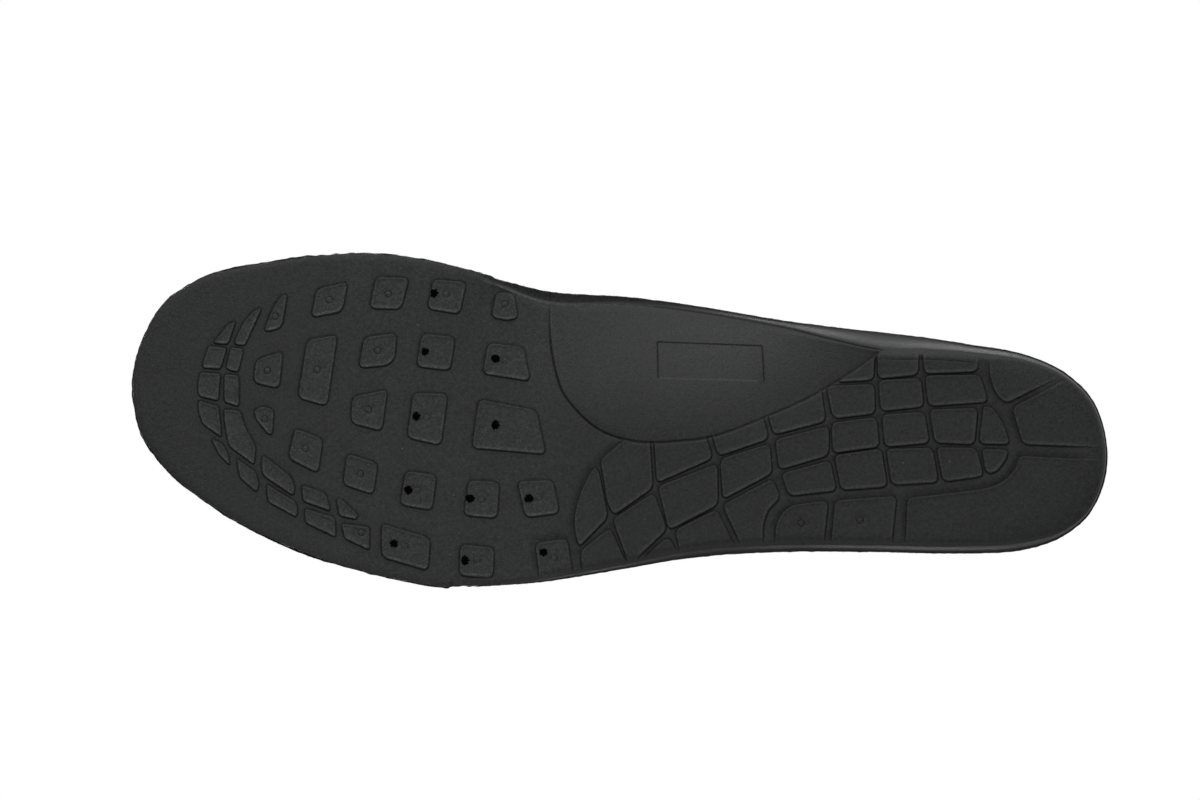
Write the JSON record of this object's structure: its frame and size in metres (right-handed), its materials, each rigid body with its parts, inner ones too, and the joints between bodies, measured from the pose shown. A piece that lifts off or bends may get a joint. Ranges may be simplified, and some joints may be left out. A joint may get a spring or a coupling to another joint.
{
  "type": "cushioned insole",
  "caption": "Moulded foam insole for a right shoe: heel cup, raised arch, cushioning pads and grooves underneath, vent holes and a cloth top.",
  "frame": {"origin": "centre of the box around the insole, at the ground it stands on", "axes": "+X to the toe, +Y to the arch (medial) side, +Z from the sole up to the foot"},
  "size_m": [0.283, 0.0948, 0.0202],
  "materials": {
    "foam": "matt moulded foam",
    "film": "thin hot-melt bonding film",
    "cloth": "fine knit polyester"
  },
  "bodies": {
    "root": {"foam_body": "foam", "adhesive_film": "film", "top_cover": "cloth"}
  },
  "joints": []
}
